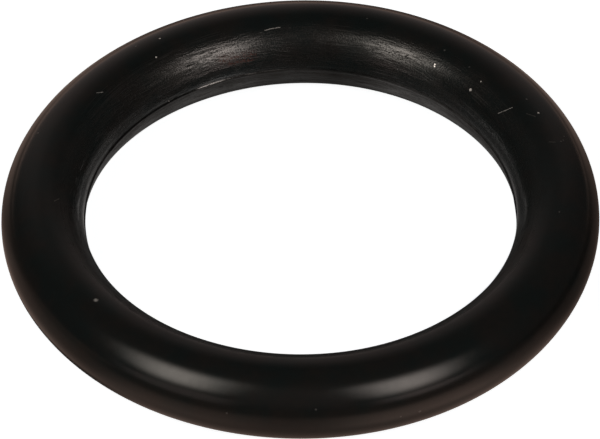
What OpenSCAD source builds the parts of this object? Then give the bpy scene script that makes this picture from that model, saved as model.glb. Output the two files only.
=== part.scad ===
// Rubber o-ring: one moulded piece with a round section.
// Millimetres. The ring lies flat, its axis is Z, and the origin is its centre.

/* [Ring] */
// Inside diameter of the ring, from crest to crest of the round section
inner_diameter = 18; // [8:0.5:60]
// Diameter of the round section
section_diameter = 3.5; // [2:0.1:6]

/* [Inner parting line] */
// How far the trimmed flash's land stands in from the section's crest
flash_height = 0.015; // [0.01:0.005:0.06]
// Width of the flash's trimmed land, measured along the ring's axis
flash_land = 0.08; // [0.04:0.01:0.14]
// Width of the flash where it grows out of the section
flash_root = 0.18; // [0.16:0.02:0.3]
// Depth of the hollow that the trimming left above the flash
trim_above = 0.03; // [0.01:0.005:0.04]
// Depth of the hollow that the trimming left below the flash
trim_below = 0.015; // [0.005:0.005:0.04]

/* [Colour] */
// Colour of the rubber
rubber_colour = "#1b1a19"; // ["#1b1a19":Black, "#4a2f22":Brown, "#2d4a2f":Green]

/* [Hidden] */
// Facets of the ring, of its section and of the trimmed hollows, for the preview mesh
ring_facets = 240;
section_facets = 96;
hollow_facets = 240;
// Radius of the round section
section_r = section_diameter / 2;
// Radius of the circle that the section's centre follows
pitch_r = (inner_diameter + section_diameter) / 2;
// Radius of the flash's land, which is the ring's tightest bore
land_r = inner_diameter / 2 - flash_height;
// Radius of the hollows' own curve
hollow_r = 2.5;
// How deep the flash's root is set into the section
root_depth = 0.07;

// Flash left on the inside by the joint of the mould's halves, in section:
// a low ridge with sloping flanks and a straight trimmed land.
module flash_section() {
    root_x = inner_diameter / 2 + root_depth;
    polygon([
        [land_r, -flash_land / 2],
        [root_x, -flash_root / 2],
        [root_x, flash_root / 2],
        [land_r, flash_land / 2]
    ]);
}

// Round tool that leaves one trimmed hollow, in section. The hollow runs from the
// parting plane up (side 1) or down (side -1), and is deepest in its middle.
module trim_section(side, depth) {
    half_width = sqrt(2 * depth / (1 / section_r + 1 / hollow_r));
    turn = side * half_width / section_r * 180 / PI;
    reach = section_r - depth + hollow_r;
    translate([pitch_r - reach * cos(turn), reach * sin(turn)])
        circle(r = hollow_r, $fn = hollow_facets);
}

// The ring's whole section: the round cord, trimmed on both sides of its inner flash.
module ring_section() {
    union() {
        difference() {
            translate([pitch_r, 0]) circle(r = section_r, $fn = section_facets);
            trim_section(1, trim_above);
            trim_section(-1, trim_below);
        }
        flash_section();
    }
}

// The ring, one moulding.
module o_ring() {
    color(rubber_colour)
        rotate_extrude($fn = ring_facets) ring_section();
}

o_ring();
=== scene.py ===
"""Rubber o-ring on a plain pale floor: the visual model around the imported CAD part. Metres, in the CAD frame."""

import math

import bpy
import numpy as np
from mathutils import Matrix, Vector


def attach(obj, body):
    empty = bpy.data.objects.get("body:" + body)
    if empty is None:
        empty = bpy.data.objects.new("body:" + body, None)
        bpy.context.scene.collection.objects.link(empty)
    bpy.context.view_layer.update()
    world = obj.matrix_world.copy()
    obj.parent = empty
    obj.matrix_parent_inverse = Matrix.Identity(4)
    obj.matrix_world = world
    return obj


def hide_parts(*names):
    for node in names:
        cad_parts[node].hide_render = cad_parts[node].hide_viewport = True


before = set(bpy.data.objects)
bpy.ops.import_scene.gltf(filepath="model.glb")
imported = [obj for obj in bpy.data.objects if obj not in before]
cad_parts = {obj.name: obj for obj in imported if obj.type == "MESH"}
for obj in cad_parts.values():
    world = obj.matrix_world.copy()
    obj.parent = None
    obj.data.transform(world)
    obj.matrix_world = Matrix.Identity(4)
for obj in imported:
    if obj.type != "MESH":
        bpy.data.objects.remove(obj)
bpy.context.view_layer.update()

scene = bpy.context.scene
MM = 0.001

# ---------------------------------------------------------------------------------------------
# Sizes, in mm
# ---------------------------------------------------------------------------------------------
PITCH = 10.75  # radius of the circle that the section's centre follows
SECTION = 1.75  # radius of the round section
FLASH_HEIGHT = 0.015  # of the trimmed flash's land above the round
FLASH_LAND = 0.08
FLASH_FLANK = 0.05
TRIM_ABOVE = 0.03  # depth of the hollows that the trimming left beside it
TRIM_BELOW = 0.015
# The ring doesn't lie quite flat: its centre line rises and falls twice on its way round.
WARP_COS, WARP_SIN = -0.0349, 0.0624
WARP = math.hypot(WARP_COS, WARP_SIN)
FLOOR_Z = -(SECTION + WARP) - 0.006


def smooth(low, high, x):
    t = np.clip((x - low) / (high - low), 0.0, 1.0)
    return t * t * (3.0 - 2.0 * t)


def wander(angle, seed, lowest, highest, roll_off=1.0):
    """A smooth closed random line over the angle, about -1 to 1: a sum of whole waves."""
    rng = np.random.default_rng(seed)
    total = np.zeros_like(angle)
    power = 0.0
    for n in range(lowest, highest + 1):
        size = rng.uniform(0.5, 1.0) / n**roll_off
        total += size * np.sin(n * angle + rng.uniform(0.0, 2.0 * math.pi))
        power += size * size
    return total / (1.6 * math.sqrt(power))


def near_angle(angle, centre, half):
    """1 at centre, 0 beyond half, both in degrees, the short way round."""
    off = np.abs((np.degrees(angle) - centre + 180.0) % 360.0 - 180.0)
    return 1.0 - smooth(0.0, half, off)


# ---------------------------------------------------------------------------------------------
# The ring's mesh
# ---------------------------------------------------------------------------------------------
AROUND = 720


def section_angles():
    """Angles round the section in degrees, from the bottom up the outside, over the top, down the inside and back, packed closely where the flash stands."""
    steps = np.concatenate(
        [
            np.linspace(-90.0, 168.0, 74, endpoint=False),
            np.linspace(168.0, 174.0, 4, endpoint=False),
            np.linspace(174.0, 186.0, 30, endpoint=False),
            np.linspace(186.0, 192.0, 4, endpoint=False),
            np.linspace(192.0, 270.0, 22, endpoint=False),
        ]
    )
    return np.radians(steps)


def ring_points(phi, tube):
    """Points of the ring's skin in mm, one row for each angle round the ring."""
    phi, tube = np.meshgrid(phi, tube, indexing="ij")
    radius = np.full_like(phi, SECTION)

    # Mould and cooling leave the skin a few micrometres off a true round.
    radius += 0.0035 * wander(phi + 0.6 * np.sin(tube), 11, 2, 14)
    radius += 0.0025 * np.sin(2.0 * tube + 1.3 * wander(phi, 12, 1, 5))

    # The flash on the inside: a low land that the trimming left between two shallow hollows, so that a crisp flank faces
    # up from the upper hollow. It is worn low at the far right, and the trim wanders.
    wear = 1.0 - 0.75 * near_angle(phi, 68.0, 46.0)
    height = FLASH_HEIGHT * (1.0 + 0.25 * wander(phi, 21, 5, 60, 0.5))
    above = TRIM_ABOVE * wear * (1.0 + 0.22 * wander(phi, 24, 4, 40, 0.6))
    above = above * (1.0 - 0.6 * near_angle(phi, -90.0, 85.0)) * (1.0 - 0.4 * near_angle(phi, 118.0, 26.0))
    below = TRIM_BELOW * (1.0 + 0.4 * wander(phi, 25, 3, 24, 0.8) + 0.6 * near_angle(phi, 12.0, 24.0))
    middle = math.pi + 0.010 * wander(phi, 22, 2, 30, 0.7) / SECTION
    land = FLASH_LAND / 2.0 * (1.0 + 0.15 * wander(phi, 23, 6, 70, 0.4))
    up = (middle - tube) * SECTION
    flank = FLASH_FLANK * (1.0 + 0.8 * near_angle(phi, 68.0, 46.0) - 0.35 * near_angle(phi, 116.0, 24.0))
    on_land = 1.0 - smooth(land - 0.006, land + flank + 0.004, np.abs(up))
    hollow_above = above * np.where(up > 0.0, np.exp(-(((up - land - flank) / 0.30) ** 2)), 0.0)
    hollow_below = below * np.where(up < 0.0, np.exp(-(((-up - land - flank) / 0.26) ** 2)), 0.0)
    # At the near right the trimming bit deeper, and took the land with it.
    degrees = np.degrees(phi)
    round_from_right = (degrees + 180.0) % 360.0 - 180.0
    bite = smooth(-72.0, -40.0, round_from_right) * (1.0 - smooth(-6.0, 6.0, round_from_right))
    radius += height * wear * on_land * (1.0 - bite)
    radius -= (hollow_above + hollow_below) * (1.0 - on_land) * (1.0 - 0.7 * bite)
    turned = np.degrees(tube)
    radius -= 0.046 * bite * smooth(134.0, 148.0, turned) * (1.0 - smooth(182.0, 205.0, turned))

    along = PITCH + radius * np.cos(tube)
    rise = WARP_COS * np.cos(2.0 * phi) + WARP_SIN * np.sin(2.0 * phi)
    return np.stack([along * np.cos(phi), along * np.sin(phi), radius * np.sin(tube) + rise], -1)


def build_ring():
    tube = section_angles()
    phi = np.linspace(0.0, 2.0 * math.pi, AROUND, endpoint=False)
    rows, columns = len(phi), len(tube)
    points = ring_points(phi, tube).reshape(-1, 3) * MM
    i, j = np.meshgrid(np.arange(rows), np.arange(columns), indexing="ij")
    i2, j2 = (i + 1) % rows, (j + 1) % columns
    faces = np.stack([i * columns + j, i2 * columns + j, i2 * columns + j2, i * columns + j2], -1).reshape(-1, 4)

    mesh = bpy.data.meshes.new("rubber_ring")
    mesh.vertices.add(len(points))
    mesh.vertices.foreach_set("co", points.astype(np.float32).ravel())
    mesh.loops.add(faces.size)
    mesh.loops.foreach_set("vertex_index", faces.astype(np.int32).ravel())
    mesh.polygons.add(len(faces))
    mesh.polygons.foreach_set("loop_start", np.arange(0, faces.size, 4, dtype=np.int32))
    mesh.polygons.foreach_set("use_smooth", np.ones(len(faces), bool))

    # Two strips, one above the other, each half of the ring laid out straight. The section's seam runs along the bottom.
    margin = 8.0 / 1024.0
    half = rows // 2
    strip = (i >= half).astype(float)
    left, right = (i % half) / half, (i % half + 1.0) / half
    opened = np.append((tube + math.pi / 2.0) / (2.0 * math.pi), 1.0)
    low, high = opened[j], opened[j + 1]
    u = np.stack([left, right, right, left], -1) * (1.0 - 2.0 * margin) + margin
    v = (np.stack([low, low, high, high], -1) * (0.5 - 2.0 * margin) + margin) + 0.5 * strip[..., None]
    layer = mesh.uv_layers.new(name="OFBake")
    layer.data.foreach_set("uv", np.stack([u, v], -1).astype(np.float32).ravel())

    mesh.update(calc_edges=True)
    mesh.validate()
    ring = bpy.data.objects.new("rubber_ring", mesh)
    scene.collection.objects.link(ring)
    return ring


# ---------------------------------------------------------------------------------------------
# Node helpers
# ---------------------------------------------------------------------------------------------
class Tree:
    """Short names for making and joining shader nodes."""

    def __init__(self, owner):
        owner.use_nodes = True
        self.tree = owner.node_tree
        self.tree.nodes.clear()

    def node(self, kind, **settings):
        made = self.tree.nodes.new("ShaderNode" + kind)
        for key, value in settings.items():
            setattr(made, key, value)
        return made

    def feed(self, socket, value):
        if isinstance(value, bpy.types.NodeSocket):
            self.tree.links.new(value, socket)
        else:
            socket.default_value = value

    def math(self, operation, *values, clamp=False):
        made = self.node("Math", operation=operation, use_clamp=clamp)
        for socket, value in zip(made.inputs, values):
            self.feed(socket, value)
        return made.outputs[0]

    def vector(self, operation, *values, scale=None, out=0):
        made = self.node("VectorMath", operation=operation)
        for socket, value in zip(made.inputs, values):
            self.feed(socket, value)
        if scale is not None:
            self.feed(made.inputs["Scale"], scale)
        return made.outputs[out]

    def between(self, value, low, high, to_low=0.0, to_high=1.0, kind="SMOOTHSTEP"):
        made = self.node("MapRange", interpolation_type=kind, clamp=True)
        for name, given in (
            ("Value", value),
            ("From Min", low),
            ("From Max", high),
            ("To Min", to_low),
            ("To Max", to_high),
        ):
            self.feed(made.inputs[name], given)
        return made.outputs["Result"]

    def join(self, x, y, z):
        made = self.node("CombineXYZ")
        for socket, value in zip(made.inputs, (x, y, z)):
            self.feed(socket, value)
        return made.outputs[0]

    def split(self, vector):
        made = self.node("SeparateXYZ")
        self.feed(made.inputs[0], vector)
        return made.outputs[0], made.outputs[1], made.outputs[2]

    def noise(self, vector, w=None, scale=1.0, detail=2.0, roughness=0.5, dimensions=None):
        made = self.node("TexNoise", noise_dimensions=dimensions or ("3D" if w is None else "4D"))
        self.feed(made.inputs["Vector"], vector)
        if w is not None:
            self.feed(made.inputs["W"], w)
        made.inputs["Scale"].default_value = scale
        made.inputs["Detail"].default_value = detail
        made.inputs["Roughness"].default_value = roughness
        return made.outputs[0]

    def node_noise_colour(self, vector, scale):
        made = self.node("TexNoise")
        self.feed(made.inputs["Vector"], vector)
        made.inputs["Scale"].default_value = scale
        made.inputs["Detail"].default_value = 1.0
        return made.outputs[1]

    def mix_colour(self, factor, first, second):
        made = self.node("Mix", data_type="RGBA")
        self.feed(made.inputs[0], factor)
        self.feed(made.inputs[6], first)
        self.feed(made.inputs[7], second)
        return made.outputs[2]


# ---------------------------------------------------------------------------------------------
# Rubber
# ---------------------------------------------------------------------------------------------
# Dust on the ring: angle round the ring, angle round the section, size across in mm.
BRIGHT_DUST = (
    (40.1, 115.2, 0.066),
    (41.0, 133.1, 0.125),
    (23.5, 84.0, 0.085),
    (122.1, 83.2, 0.066),
    (126.0, 109.3, 0.076),
    (127.3, 176.7, 0.050),
    (96.0, 24.0, 0.085),
    (143.0, 11.0, 0.055),
    (31.0, 17.0, 0.065),
    (66.0, -22.0, 0.050),
)
FAINT_DUST = (
    (-67.2, 355.4, 0.130),
    (-71.1, 355.3, 0.090),
    (-87.5, 26.0, 0.070),
    (-104.6, 11.7, 0.070),
    (28.5, 86.3, 0.070),
    (45.3, 108.1, 0.060),
    (53.3, 104.6, 0.080),
    (74.1, 93.5, 0.060),
    (160.8, 61.4, 0.080),
    (127.6, 75.0, 0.080),
    (-8.5, 84.8, 0.070),
    (-35.4, 350.4, 0.070),
    (14.3, 68.4, 0.060),
    (13.8, 72.5, 0.060),
    (15.6, 64.0, 0.050),
    (111.0, 15.0, 0.100),
    (81.0, 8.0, 0.080),
    (168.0, -8.0, 0.110),
    (250.0, -30.0, 0.090),
)
# Lint, as lines of points: angle round the ring, angle round the section.
LINT = (
    ((98.1, 117.8), (96.3, 116.0), (94.3, 115.3)),
    ((29.7, 130.5), (28.8, 120.4), (28.2, 110.4)),
    ((144.5, 101.2), (143.4, 106.6)),
    ((84.0, 30.0), (86.5, 35.0), (87.0, 42.0)),
)
FAINT_LINT = (
    ((13.9, 89.6), (13.6, 81.4)),
    ((24.4, 99.0), (22.6, 91.0)),
    ((183.0, 106.0), (181.8, 113.0)),
    ((154.0, 2.0), (158.5, 6.0)),
)
# Fine cracks and pits in the scuffed skin at the far right; the pits with their size across in mm.
CRACKS = (
    ((62.8, 141.0), (62.2, 138.6)),
    ((61.7, 134.6), (61.2, 131.2)),
)
PITS = (
    (65.1, 138.0, 0.045),
    (64.7, 134.8, 0.040),
    (64.1, 131.6, 0.040),
    (63.5, 135.2, 0.045),
    (66.2, 136.4, 0.035),
    (60.9, 125.5, 0.050),
    (61.2, 136.4, 0.030),
    (61.1, 142.8, 0.045),
    (62.9, 153.8, 0.050),
    (58.3, 115.2, 0.045),
    (58.9, 118.0, 0.040),
    (57.9, 121.2, 0.040),
    (61.1, 114.7, 0.045),
    (112.6, 133.5, 0.040),
    (116.8, 141.0, 0.035),
    (100.0, 164.5, 0.050),
)


def skin(round_ring, round_section):
    """The point of the skin, in mm, at two angles in degrees."""
    return ring_points(np.radians([float(round_ring)]), np.radians([float(round_section)]))[0, 0]


def rubber():
    """Black rubber: smooth outside, scuffed along the ring inside, with a dull lower band below the trimmed line that
    is painted lighter as a reflection of the floor, and painted shade along the trimmed flank.
    """
    material = bpy.data.materials.new("black_rubber")
    t = Tree(material)
    place = t.vector("SCALE", t.node("TexCoord").outputs["Object"], scale=1.0 / MM)  # in mm

    # Directions round the ring (c, s) and round the section (ct, st).
    x, y, z = t.split(place)
    flat = t.join(x, y, 0.0)
    c, s, _ = t.split(t.vector("NORMALIZE", flat))
    out = t.math("SUBTRACT", t.vector("LENGTH", flat, out=1), PITCH)
    cos_2 = t.math("MULTIPLY_ADD", c, c, t.math("MULTIPLY", t.math("MULTIPLY", s, s), -1.0))
    sin_2 = t.math("MULTIPLY", t.math("MULTIPLY", c, s), 2.0)
    rise = t.math("MULTIPLY_ADD", cos_2, WARP_COS, t.math("MULTIPLY", sin_2, WARP_SIN))
    ct, st, _ = t.split(t.vector("NORMALIZE", t.join(out, t.math("SUBTRACT", z, rise), 0.0)))

    def times(*values):
        total = values[0]
        for value in values[1:]:
            total = t.math("MULTIPLY", total, value)
        return total

    def streaks(along, across, seed, turns=0.0, detail=3.0, roughness=0.6):
        """Noise drawn out along the ring, `along` and `across` cells to a radian. It slants where it turns once round the section."""
        if turns:
            cosine = t.math("ADD", times(ct, c), times(st, s, -turns))
            sine = t.math("ADD", times(st, c), times(ct, s, turns))
        else:
            cosine, sine = ct, st
        where = t.join(times(c, along), times(s, along), times(cosine, across))
        return t.noise(where, w=t.math("MULTIPLY_ADD", sine, across, seed), detail=detail, roughness=roughness)

    # Zones: the inside above the trimmed line, the flank of the line, and the band below it.
    wavering = t.math("MULTIPLY_ADD", t.noise(place, scale=0.8, detail=2.0), 0.36, t.math("SUBTRACT", ct, 0.18))
    inside = times(t.between(wavering, -0.24, -0.52), t.between(y, -2.0, 5.0, 0.30, 1.0))
    flank = times(t.between(ct, -0.9, -0.95), t.between(st, 0.014, 0.024), t.between(st, 0.060, 0.050))
    lower = times(t.between(ct, -0.45, -0.60), t.between(st, 0.030, 0.012), t.between(st, -0.88, -0.60))
    shoulder = times(t.between(ct, 0.22, -0.30), t.between(y, 2.0, 6.0))

    # The flank is cut rough, but for one smooth stretch at the far left.
    polished = t.vector("DOT_PRODUCT", t.join(c, s, 0.0), (math.cos(math.radians(114.3)), math.sin(math.radians(114.3)), 0.0), out=1)
    polished = t.between(polished, math.cos(math.radians(4.8)), math.cos(math.radians(2.4)))

    # Scuffs: long streaks along the ring, crossed by two slanting sets, over a fine grain.
    long_streaks = streaks(5.0, 13.0, 3.1, detail=3.0, roughness=0.68)
    slant_left = streaks(14.0, 21.0, 17.3, turns=1.0, detail=1.0)
    slant_right = streaks(14.0, 21.0, 41.7, turns=-1.0, detail=1.0)
    grain = t.noise(place, scale=15.0, detail=2.0, roughness=0.6)
    scuff = t.math("MULTIPLY_ADD", long_streaks, 0.38, times(slant_left, 0.16))
    scuff = t.math("ADD", scuff, t.math("MULTIPLY_ADD", slant_right, 0.12, times(grain, 0.34)))
    dull = t.between(scuff, 0.478, 0.558)
    long_lines = streaks(1.6, 15.0, 71.9, detail=0.0)
    scratch_1 = t.between(t.math("ABSOLUTE", t.math("SUBTRACT", long_lines, 0.5)), 0.005, 0.014, 1.0, 0.0)
    slant_lines = streaks(1.8, 12.0, 97.3, turns=1.0, detail=0.0)
    scratch_2 = t.between(t.math("ABSOLUTE", t.math("SUBTRACT", slant_lines, 0.5)), 0.004, 0.011, 1.0, 0.0)
    broken = t.between(t.noise(place, scale=1.7, detail=1.0), 0.42, 0.58)
    scratches = times(t.math("MAXIMUM", scratch_1, scratch_2), broken, t.between(ct, -0.20, -0.50))

    # Fine hairlines, as a cloth leaves them.
    hair = t.between(streaks(3.2, 19.0, 55.5, detail=1.0), 0.575, 0.655)
    hair = times(hair, t.between(ct, -0.14, -0.28), t.between(y, 3.5, 6.0), t.between(t.noise(place, scale=0.8, detail=1.0), 0.36, 0.66))

    # Cloudy differences in the compound and its bloom.
    cloud = t.between(t.noise(place, scale=0.55, detail=3.0, roughness=0.55), 0.38, 0.64)
    fine_cloud = t.noise(place, scale=3.2, detail=3.0, roughness=0.6)
    mottle = t.between(fine_cloud, 0.36, 0.66)

    # Marks at their own places. The skin's coordinates are bent a little, so that no speck is a true disc.
    bend = t.vector("SUBTRACT", t.node_noise_colour(place, 16.0), (0.5, 0.5, 0.5))
    bent = t.vector("MULTIPLY_ADD", bend, (0.05, 0.05, 0.05), place)

    def specks(rows):
        nearest = None
        for row in rows:
            away = t.math("SUBTRACT", t.vector("DISTANCE", bent, tuple(skin(row[0], row[1])), out=1), row[2] / 2.0)
            nearest = away if nearest is None else t.math("MINIMUM", nearest, away)
        return nearest

    def lines(rows, wobble):
        nearest = None
        for row in rows:
            for start, end in zip(row[:-1], row[1:]):
                start, end = skin(*start), skin(*end)
                run = end - start
                share = t.vector("DOT_PRODUCT", t.vector("SUBTRACT", wobble, tuple(start)), tuple(run / run.dot(run)), out=1)
                share = t.math("MULTIPLY", share, 1.0, clamp=True)
                foot = t.vector("MULTIPLY_ADD", t.join(share, share, share), tuple(run), tuple(start))
                away = t.vector("DISTANCE", wobble, foot, out=1)
                nearest = away if nearest is None else t.math("MINIMUM", nearest, away)
        return nearest

    bright_dust = t.between(specks(BRIGHT_DUST), 0.010, -0.008)
    faint_dust = t.between(specks(FAINT_DUST), 0.025, -0.025)
    soft_dust = t.between(specks(((-141.9, 87.6, 0.175),)), 0.050, -0.070)
    crumb = t.between(specks(((53.5, 128.9, 0.088), (53.3, 131.5, 0.080))), 0.008, -0.006)
    lint = t.between(lines(LINT, bent), 0.022, 0.010)
    faint_lint = t.between(lines(FAINT_LINT, bent), 0.030, 0.010)
    cracks = times(t.between(lines(CRACKS, bent), 0.034, 0.004), t.between(grain, 0.36, 0.58), 0.75)
    cracks = t.math("MAXIMUM", cracks, times(t.between(specks(PITS), 0.020, -0.014), 0.75))
    stain = t.between(lines((((110.5, 146.3), (101.5, 148.6)), ((108.0, 152.5), (103.0, 155.2))), bent), 0.28, 0.0)
    stain = times(stain, t.between(t.math("MULTIPLY_ADD", grain, 0.5, times(long_streaks, 0.5)), 0.43, 0.58))

    # A thin scatter of dust all round.
    cells = t.node("TexVoronoi", feature="F1")
    t.feed(cells.inputs["Vector"], bent)
    cells.inputs["Scale"].default_value = 1.15
    pick, size, _ = t.split(cells.outputs["Color"])
    reach = t.math("MULTIPLY_ADD", size, 0.028, 0.022)
    scatter = times(t.between(t.math("SUBTRACT", cells.outputs["Distance"], reach), 0.010, -0.008), t.between(pick, 0.86, 0.98))

    # Colour.
    colour = t.mix_colour(cloud, (0.0070, 0.0118, 0.0122, 1.0), (0.0122, 0.0122, 0.0116, 1.0))
    colour = t.mix_colour(times(mottle, 0.5), colour, (0.0066, 0.0090, 0.0088, 1.0))
    colour = t.mix_colour(times(inside, dull, 0.45), colour, (0.0230, 0.0225, 0.0215, 1.0))
    # Painted reflection: the band below the trimmed line is painted lighter grey, streaked like the scuffs, standing in
    # for the pale floor it reflects.
    colour = t.mix_colour(times(lower, t.math("MULTIPLY_ADD", dull, 0.55, 0.45)), colour, (0.0290, 0.0280, 0.0265, 1.0))
    # Painted shade: the trimmed flank is painted darker as the dark line along the trim, but for its smooth stretch at
    # the far left.
    colour = t.mix_colour(times(flank, 0.8, t.math("SUBTRACT", 1.0, polished)), colour, (0.006, 0.006, 0.006, 1.0))
    colour = t.mix_colour(times(stain, t.math("MULTIPLY_ADD", dull, 0.55, 0.30)), colour, (0.1000, 0.0400, 0.0310, 1.0))
    colour = t.mix_colour(t.math("MAXIMUM", times(scratches, 0.6), cracks), colour, (0.005, 0.005, 0.005, 1.0))
    colour = t.mix_colour(times(scatter, 0.20), colour, (0.42, 0.42, 0.41, 1.0))
    colour = t.mix_colour(times(faint_dust, 0.14), colour, (0.48, 0.47, 0.46, 1.0))
    colour = t.mix_colour(times(faint_lint, 0.08), colour, (0.48, 0.46, 0.43, 1.0))
    colour = t.mix_colour(times(lint, 0.62), colour, (0.50, 0.50, 0.49, 1.0))
    colour = t.mix_colour(times(soft_dust, 0.85), colour, (0.36, 0.36, 0.35, 1.0))
    colour = t.mix_colour(bright_dust, colour, (0.66, 0.65, 0.63, 1.0))
    colour = t.mix_colour(crumb, colour, (0.95, 0.94, 0.92, 1.0))

    # Roughness.
    rough = t.math("MULTIPLY_ADD", mottle, 0.030, 0.165)
    rough = t.math("ADD", rough, times(inside, t.math("MULTIPLY_ADD", dull, 0.14, -0.015)))
    rough = t.math("ADD", rough, times(lower, 0.14))
    rough = t.math("ADD", rough, times(flank, t.math("MULTIPLY_ADD", polished, -0.40, 0.34)))
    rough = t.math("ADD", rough, t.math("ADD", times(scratches, 0.30), times(hair, 0.14)))
    rough = t.math("ADD", rough, times(t.between(y, 0.5, -3.0), t.between(ct, -0.30, -0.58), 0.27))
    marks = t.math("MAXIMUM", t.math("MAXIMUM", bright_dust, lint), t.math("MAXIMUM", cracks, t.math("MAXIMUM", times(faint_dust, 0.4), soft_dust)))
    rough = t.math("MAXIMUM", t.math("MINIMUM", rough, 0.85), times(marks, 0.85))
    rough = t.math("MINIMUM", rough, t.math("MULTIPLY_ADD", crumb, -0.70, 1.0))

    # Less gloss in the dull streaks, scratches and cracks.
    gloss = t.math("MULTIPLY_ADD", inside, t.math("MULTIPLY_ADD", dull, -0.62, 0.48), 0.52)
    gloss = t.math("MULTIPLY_ADD", t.math("MAXIMUM", times(scratches, 0.7), cracks), -0.35, gloss)
    # The inside is dullest halfway down and cleaner again near the trimmed line; the near shoulder is dulled too.
    back_half = t.between(y, -4.0, 1.5)
    lower_down = t.math("ADD", ct, t.between(c, -0.15, 0.10, 0.05, -0.01))
    lower_down = t.math("MULTIPLY_ADD", t.math("SUBTRACT", long_streaks, 0.5), 0.20, lower_down)
    gloss = times(gloss, t.math("MULTIPLY_ADD", times(back_half, t.between(lower_down, -0.70, -0.78)), t.between(c, -0.15, 0.10, -0.12, -0.42), 1.0))
    gloss = times(gloss, t.math("MULTIPLY_ADD", times(back_half, t.between(ct, -0.87, -0.955), t.between(st, 0.0, 0.06)), 1.0, 1.0))
    # The band below the line is duller at the left and cleaner right behind.
    band = t.math("ADD", times(t.between(c, -0.17, -0.34), t.between(c, -0.74, -0.64), -0.60), times(t.between(c, -0.13, -0.03), t.between(c, 0.19, 0.06), 1.0))
    gloss = times(gloss, t.math("MULTIPLY_ADD", lower, t.math("SUBTRACT", t.math("MULTIPLY", band, back_half), 0.10), 1.0))
    uneven = t.math("ADD", t.between(c, -0.06, 0.12, 0.20, -0.24), t.between(c, 0.24, 0.45, 0.0, 0.24))
    uneven = t.math("MULTIPLY_ADD", times(t.between(c, 0.30, 0.48), t.between(ct, -0.80, -0.90)), 0.55, uneven)
    # The scuffed patches end sooner at their sides.
    ends = t.math("ADD", t.between(c, -0.60, -0.47, -0.40, 0.0), times(t.between(c, -0.28, -0.13), t.between(c, 0.12, -0.06), -0.36))
    ends = t.math("ADD", ends, times(t.between(c, 0.05, 0.17), t.between(c, 0.38, 0.26), -0.16))
    ends = t.math("ADD", ends, t.math("ADD", t.between(c, -0.28, -0.13, -0.11, 0.0), t.between(c, 0.44, 0.56, 0.0, -0.24)))
    uneven = t.math("MULTIPLY_ADD", ends, t.between(ct, 0.0, -0.30), uneven)
    gloss = times(gloss, t.math("MULTIPLY_ADD", uneven, back_half, 1.0))
    # At the left the skin is dull right above the trimmed line, and further round it is dull a little higher up.
    dull_left = times(t.between(c, -0.34, -0.50), t.between(c, -0.93, -0.80), t.between(ct, -0.93, -0.985), t.between(st, -0.01, 0.02))
    at_end = t.math("SUBTRACT", ct, t.between(y, 1.4, -0.3, 0.0, 0.09))
    dull_end = times(t.between(c, -0.86, -0.95), t.between(at_end, -0.80, -0.85), t.between(at_end, -0.935, -0.905), t.between(y, -2.6, -1.2))
    clean_end = times(t.between(c, -0.984, -0.997), t.between(ct, -0.925, -0.950), t.between(st, 0.12, 0.18))
    gloss = times(gloss, t.math("MULTIPLY_ADD", dull_left, -0.70, 1.0), t.math("MULTIPLY_ADD", dull_end, -0.75, 1.0), t.math("MULTIPLY_ADD", clean_end, 0.90, 1.0))
    gloss = times(gloss, t.math("MULTIPLY_ADD", t.math("SUBTRACT", grain, 0.5), times(inside, 1.1), 1.0))
    near_shoulder = times(t.between(y, -5.5, -8.5), t.between(ct, -0.10, -0.28))
    gloss = times(gloss, t.math("MULTIPLY_ADD", near_shoulder, -0.42, 1.0))
    gloss = t.math("MAXIMUM", times(gloss, t.math("MULTIPLY_ADD", hair, 0.55, 1.0)), 0.08)
    gloss = t.math("ADD", times(flank, t.math("MULTIPLY_ADD", polished, 1.15, -0.30)), gloss)
    gloss = t.math("MAXIMUM", gloss, 0.03)

    # Relief, in micrometres.
    high = times(t.math("SUBTRACT", t.noise(place, scale=1.9, detail=2.0), 0.5), 1.6)
    furrows = t.math("MULTIPLY_ADD", long_streaks, 0.50, times(slant_left, 0.28))
    furrows = t.math("MULTIPLY_ADD", slant_right, 0.22, furrows)
    scuffed = t.math("MAXIMUM", inside, times(shoulder, 0.22))
    high = t.math("MULTIPLY_ADD", t.math("SUBTRACT", furrows, 0.5), times(scuffed, -24.0), high)
    high = t.math("MULTIPLY_ADD", t.math("SUBTRACT", grain, 0.5), times(scuffed, -7.0), high)
    high = t.math("MULTIPLY_ADD", scratches, -1.2, high)
    high = t.math("MULTIPLY_ADD", cracks, -8.0, high)
    high = t.math("MULTIPLY_ADD", t.math("MAXIMUM", bright_dust, crumb), 18.0, high)
    high = t.math("MULTIPLY_ADD", t.math("MAXIMUM", lint, times(faint_dust, 0.3)), 8.0, high)
    bump = t.node("Bump")
    bump.inputs["Strength"].default_value = 1.0
    bump.inputs["Distance"].default_value = 1e-6
    t.feed(bump.inputs["Height"], high)

    shader = t.node("BsdfPrincipled")
    t.feed(shader.inputs["Base Color"], colour)
    t.feed(shader.inputs["Roughness"], rough)
    t.feed(shader.inputs["Metallic"], crumb)
    t.feed(shader.inputs["Specular IOR Level"], gloss)
    t.feed(shader.inputs["Normal"], bump.outputs[0])
    shader.inputs["IOR"].default_value = 1.5
    surface = t.node("OutputMaterial")
    t.feed(surface.inputs["Surface"], shader.outputs[0])
    return material


# ---------------------------------------------------------------------------------------------
# Floors, light and camera
# ---------------------------------------------------------------------------------------------
def plane(name, size, z):
    mesh = bpy.data.meshes.new(name)
    h = size / 2.0
    mesh.from_pydata([(-h, -h, z), (h, -h, z), (h, h, z), (-h, h, z)], [], [(0, 1, 2, 3)])
    made = bpy.data.objects.new(name, mesh)
    scene.collection.objects.link(made)
    return made


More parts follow.
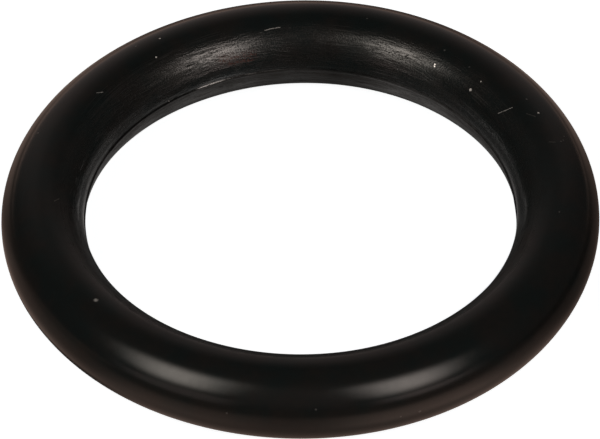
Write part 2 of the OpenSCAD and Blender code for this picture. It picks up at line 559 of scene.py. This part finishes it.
def seen_floor():
    """The pale floor that the camera sees. It is white but for the ring's own faint shadow."""
    material = bpy.data.materials.new("pale_floor")
    t = Tree(material)
    place = t.node("TexCoord").outputs["Object"]
    radius = t.vector("LENGTH", place, out=1)
    close = t.between(radius, 0.030, 0.075, 1.0, 0.0)
    glow = t.node("Emission")
    glow.inputs["Color"].default_value = (1.0, 1.0, 1.0, 1.0)
    t.feed(glow.inputs["Strength"], t.math("MULTIPLY_ADD", close, -0.14, 1.06))
    matt = t.node("BsdfDiffuse")
    t.feed(matt.inputs["Color"], t.mix_colour(close, (0.0, 0.0, 0.0, 1.0), (0.46, 0.56, 0.62, 1.0)))
    both = t.node("AddShader")
    t.feed(both.inputs[0], glow.outputs[0])
    t.feed(both.inputs[1], matt.outputs[0])
    out = t.node("OutputMaterial")
    t.feed(out.inputs["Surface"], both.outputs[0])
    material.cycles.emission_sampling = "NONE"
    floor = plane("floor", 4.0, FLOOR_Z * MM)
    floor.data.materials.append(material)
    floor.visible_glossy = False
    floor.visible_diffuse = False
    floor.visible_shadow = False
    floor.visible_transmission = False
    return floor


def reflected_floor():
    """The warmer, dimmer table top that the rubber reflects: a glowing plane with painted light from behind and the
    ring's shadows painted on it.
    """
    material = bpy.data.materials.new("table_reflection")
    t = Tree(material)
    place = t.node("TexCoord").outputs["Object"]
    radius = t.math("MULTIPLY", t.vector("LENGTH", place, out=1), 1000.0)
    x, y, _ = t.split(t.vector("NORMALIZE", place))
    # In the opening it is dark but for a lit band near the ring's foot, weaker right behind and towards the camera.
    sideways = t.math("ABSOLUTE", x)
    band = t.math("MULTIPLY", t.math("MULTIPLY", t.between(sideways, 0.08, 0.36, 0.17, 0.54), t.between(x, -0.2, 0.0, 1.25, 1.0)), t.between(sideways, 0.46, 0.75, 1.0, 0.48))
    band = t.math("MULTIPLY", band, t.between(y, 0.18, -0.28, 1.0, 0.16))
    aside = t.between(sideways, 0.42, 0.66)
    start = t.math("MAXIMUM", t.math("MULTIPLY_ADD", aside, 0.7, 6.6), t.between(x, 0.0, 0.14, 6.6, 7.5))
    full = t.math("MAXIMUM", t.math("MULTIPLY_ADD", aside, 1.7, 7.6), t.between(x, 0.0, 0.14, 7.6, 8.4))
    dark = t.between(radius, 2.0, 5.5, 0.012, 0.045)
    opening = t.math("MULTIPLY_ADD", t.between(radius, start, full), t.math("SUBTRACT", band, dark), dark)
    # Outside it fades from the ring's foot outwards, brighter at the near left and near right, dim behind.
    level = t.math("MULTIPLY", t.between(radius, 12.6, 14.6, 0.17, 0.105), t.math("MAXIMUM", t.between(t.math("ABSOLUTE", y), 0.20, 0.62, 0.62, 1.0), t.between(x, -0.2, -0.6)))
    left_shadow = t.math("MULTIPLY", t.between(x, -0.45, -0.80), t.between(y, -0.06, -0.22))
    left_shadow = t.math("MULTIPLY", left_shadow, t.between(radius, 12.95, 12.45))
    level = t.math("MULTIPLY", level, t.math("MULTIPLY_ADD", left_shadow, -0.85, 1.0))
    left_foot = t.math("MULTIPLY", t.between(x, -0.78, -0.95), t.between(y, 0.22, -0.05))
    level = t.math("MULTIPLY", level, t.math("MULTIPLY_ADD", left_foot, 0.5, 1.0))
    level = t.math("ADD", level, t.between(radius, 16.5, 25.0, 0.0, -0.055))
    ring_zone = t.between(radius, 12.8, 15.5, 1.0, 0.0)
    diagonal = t.math("MULTIPLY", t.math("ABSOLUTE", t.math("MULTIPLY", x, y)), 0.5)
    lift = t.math("MULTIPLY", t.between(y, -0.25, -0.6), diagonal)
    level = t.math("MULTIPLY", level, t.math("MULTIPLY_ADD", ring_zone, lift, 1.0))
    # Two lighter patches before the ring.
    patch = t.math("MULTIPLY", t.between(sideways, 0.02, 0.36, 0.35, 1.0), t.between(sideways, 0.55, 0.82, 1.0, 0.15))
    patch = t.math("MULTIPLY", t.math("MULTIPLY", patch, t.between(y, -0.30, -0.60)), t.math("MULTIPLY", t.between(radius, 12.9, 14.2), t.between(radius, 14.8, 20.5, 1.0, 0.0)))
    level = t.math("MULTIPLY_ADD", patch, t.between(x, -0.2, 0.2, 0.18, 0.38), level)
    level = t.math("MULTIPLY", level, t.between(y, 0.1, 0.9, 1.0, 0.42))
    back_corners = t.math("MULTIPLY", t.between(sideways, 0.32, 0.62), t.between(y, 0.20, 0.60))
    back_corners = t.math("MULTIPLY", back_corners, t.math("MULTIPLY", t.between(radius, 14.0, 17.0, 0.35, 1.0), t.between(radius, 21.0, 31.0, 1.0, 0.0)))
    back_corners = t.math("MULTIPLY", back_corners, t.between(x, 0.74, 0.92, 1.0, 0.35))
    level = t.math("MULTIPLY_ADD", back_corners, 0.17, level)
    under = t.between(radius, 8.8, 9.8)
    level = t.math("MULTIPLY_ADD", under, t.math("SUBTRACT", level, opening), opening)
    # Far behind the ring the table brightens towards its lit end.
    behind = t.between(y, 0.42, 0.95)
    climb = t.math("ADD", t.between(radius, 15.0, 24.0, 0.0, 0.12), t.between(radius, 28.0, 55.0, 0.0, 0.34))
    climb = t.math("MULTIPLY", climb, t.math("MINIMUM", t.between(x, 0.05, 0.50, 1.0, 0.6), t.between(x, -0.50, -0.85, 1.0, 0.4)))
    level = t.math("MULTIPLY_ADD", behind, climb, level)
    glow = t.node("Emission")
    outside = t.between(radius, 9.5, 12.5)
    t.feed(glow.inputs["Color"], t.mix_colour(outside, lit((1.0, 0.95, 0.92)), lit((1.0, 0.70, 0.58))))
    t.feed(glow.inputs["Strength"], level)
    out = t.node("OutputMaterial")
    t.feed(out.inputs["Surface"], glow.outputs[0])
    material.cycles.emission_sampling = "NONE"
    floor = plane("table_reflection", 4.0, (FLOOR_Z - 0.05) * MM)
    floor.data.materials.append(material)
    floor.visible_camera = False
    floor.visible_shadow = False
    return floor


def lit(colour):
    """The colour at a luminance of 1."""
    light = 0.2126 * colour[0] + 0.7152 * colour[1] + 0.0722 * colour[2]
    return (colour[0] / light, colour[1] / light, colour[2] / light, 1.0)


def towards(azimuth, elevation):
    """Azimuth 0 is away from the camera, 90 to the right, 180 to the camera."""
    a, e = math.radians(azimuth), math.radians(elevation)
    return Vector((math.sin(a) * math.cos(e), math.cos(a) * math.cos(e), math.sin(e)))


def softbox(name, azimuth, elevation, wide, high, lean, radiance, colour, distance=0.6):
    """A soft box that faces the ring, brightest in its middle: its size between half-bright edges and its lean, in degrees as the ring sees them, and the radiance of its middle. It leans outwards at the top."""
    half_wide = distance * math.tan(math.radians(wide / 2.0))
    half_high = distance * math.tan(math.radians(high / 2.0))
    material = bpy.data.materials.new(name)
    t = Tree(material)
    x, y, _ = t.split(t.node("TexCoord").outputs["Object"])
    x = t.math("POWER", t.math("ABSOLUTE", t.math("DIVIDE", x, half_wide)), 2.4)
    y = t.math("POWER", t.math("ABSOLUTE", t.math("DIVIDE", y, half_high)), 3.4)
    fall = t.math("EXPONENT", t.math("MULTIPLY", t.math("ADD", x, y), -0.693))
    glow = t.node("Emission")
    glow.inputs["Color"].default_value = lit(colour)
    t.feed(glow.inputs["Strength"], t.math("MULTIPLY", fall, radiance))
    out = t.node("OutputMaterial")
    t.feed(out.inputs["Surface"], glow.outputs[0])

    w, h = 2.1 * half_wide, 1.7 * half_high
    mesh = bpy.data.meshes.new(name)
    mesh.from_pydata([(-w, -h, 0.0), (w, -h, 0.0), (w, h, 0.0), (-w, h, 0.0)], [], [(0, 1, 2, 3)])
    mesh.materials.append(material)
    back = towards(azimuth, elevation)
    side = Vector((0.0, 0.0, 1.0)).cross(back).normalized()
    up = back.cross(side)
    a = math.radians(lean)
    side, up = math.cos(a) * side + math.sin(a) * up, math.cos(a) * up - math.sin(a) * side
    made = bpy.data.objects.new(name, mesh)
    made.matrix_world = Matrix(
        (
            (side.x, up.x, back.x, back.x * distance),
            (side.y, up.y, back.y, back.y * distance),
            (side.z, up.z, back.z, back.z * distance),
            (0.0, 0.0, 0.0, 1.0),
        )
    )
    made.visible_camera = False
    made.visible_shadow = False
    scene.collection.objects.link(made)
    return made


# Soft patches of light on the studio's walls: azimuth, elevation, the full and the outer radius in degrees, radiance.
GLOWS = (
    (137.0, 16.0, 6.0, 20.0, 0.45),  # spill below the right box
    (136.0, 4.0, 8.0, 24.0, 0.20),
    (-135.0, 14.0, 8.0, 26.0, 0.30),  # spill below the left box
    (176.0, 38.0, 10.0, 40.0, 0.05),  # the side of the camera
    (-32.0, 30.0, 5.0, 25.0, 0.024),  # high behind, left and right
    (32.0, 30.0, 5.0, 25.0, 0.014),
)


def studio():
    """The dim room round the ring, which only reflections and soft light see."""
    rows, columns = 32, 64
    points, faces = [], []
    for i in range(rows + 1):
        elevation = math.pi * (i / rows - 0.5)
        for j in range(columns):
            a = 2.0 * math.pi * j / columns
            points.append((2.5 * math.cos(elevation) * math.cos(a), 2.5 * math.cos(elevation) * math.sin(a), 2.5 * math.sin(elevation)))
    for i in range(rows):
        for j in range(columns):
            k = (j + 1) % columns
            faces.append((i * columns + j, (i + 1) * columns + j, (i + 1) * columns + k, i * columns + k))
    mesh = bpy.data.meshes.new("studio")
    mesh.from_pydata(points, [], faces)
    made = bpy.data.objects.new("studio", mesh)
    scene.collection.objects.link(made)
    made.visible_camera = False
    made.visible_shadow = False

    material = bpy.data.materials.new("studio_walls")
    t = Tree(material)
    place = t.vector("NORMALIZE", t.node("TexCoord").outputs["Object"])
    x, y, z = t.split(place)
    flat = t.math("MAXIMUM", t.math("SQRT", t.math("MULTIPLY_ADD", x, x, t.math("MULTIPLY", y, y))), 1e-4)
    sideways = t.math("DIVIDE", x, flat)
    # A card behind the ring, brightest in its middle and further out to the left.
    card = t.math("MULTIPLY", t.between(sideways, -0.74, -0.16), t.between(sideways, 0.66, 0.14))
    card = t.math("MULTIPLY", card, t.between(y, 0.0, 0.05))
    level = t.math("MULTIPLY", card, t.between(z, 0.05, 0.80, 0.26, 0.0, "LINEAR"))
    level = t.math("ADD", level, 0.034)
    for azimuth, elevation, full, outer, radiance in GLOWS:
        near = t.vector("DOT_PRODUCT", place, towards(azimuth, elevation), out=1)
        spot = t.between(near, math.cos(math.radians(outer)), math.cos(math.radians(full)))
        level = t.math("MULTIPLY_ADD", spot, radiance, level)
    glow = t.node("Emission")
    glow.inputs["Color"].default_value = lit((1.0, 0.82, 0.77))
    t.feed(glow.inputs["Strength"], level)
    out = t.node("OutputMaterial")
    t.feed(out.inputs["Surface"], glow.outputs[0])
    material.cycles.emission_sampling = "NONE"
    mesh.materials.append(material)
    return made


def white_world():
    world = bpy.data.worlds.new("white")
    scene.world = world
    t = Tree(world)
    back = t.node("Background")
    back.inputs["Color"].default_value = (1.0, 1.0, 1.0, 1.0)
    back.inputs["Strength"].default_value = 1.05
    out = t.node("OutputWorld")
    t.feed(out.inputs["Surface"], back.outputs[0])
    sees = world.cycles_visibility
    sees.camera = True
    sees.diffuse = sees.glossy = sees.transmission = sees.scatter = False


def photo_camera():
    """A long lens from the photo's height, with its slight roll."""
    elevation, distance = math.radians(43.6128), 724.70
    roll = math.radians(0.7149)
    per_mm = 17325.1 / distance  # pixels of the 600-pixel frame for 1 mm at the ring's centre
    back = Vector((0.0, -math.cos(elevation), math.sin(elevation)))
    right = Vector((1.0, 0.0, 0.0))
    up = Vector((0.0, math.sin(elevation), math.cos(elevation)))
    right, up = (
        math.cos(roll) * right - math.sin(roll) * up,
        math.sin(roll) * right + math.cos(roll) * up,
    )
    # The ring's centre is a little right of and above the frame's.
    place = back * distance - right * (0.346 / per_mm) - up * (1.645 / per_mm)
    data = bpy.data.cameras.new("camera")
    data.sensor_fit = "HORIZONTAL"
    data.sensor_width = 36.0
    data.lens = 17339.0 / 600.0 * 36.0
    data.clip_start, data.clip_end = 0.05, 20.0
    made = bpy.data.objects.new("camera", data)
    made.matrix_world = Matrix(
        (
            (right.x, up.x, back.x, place.x * MM),
            (right.y, up.y, back.y, place.y * MM),
            (right.z, up.z, back.z, place.z * MM),
            (0.0, 0.0, 0.0, 1.0),
        )
    )
    scene.collection.objects.link(made)
    scene.camera = made


# ---------------------------------------------------------------------------------------------
# The scene
# ---------------------------------------------------------------------------------------------
scene.view_settings.view_transform = "Standard"
scene.view_settings.look = "None"
scene.view_settings.exposure = 0.0
scene.view_settings.gamma = 1.0

photo_camera()
white_world()
seen_floor()
reflected_floor()
studio()
softbox("softbox_right", 137.5, 38.5, 20.5, 33.5, -8.0, 3.45, (1.0, 0.89, 0.82))
softbox("softbox_left", -128.3, 43.5, 21.5, 35.0, 16.5, 3.45, (1.0, 0.915, 0.825))

ring = build_ring()
ring.data.materials.append(rubber())
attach(ring, "root")
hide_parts("o_ring")

bpy.context.view_layer.update()
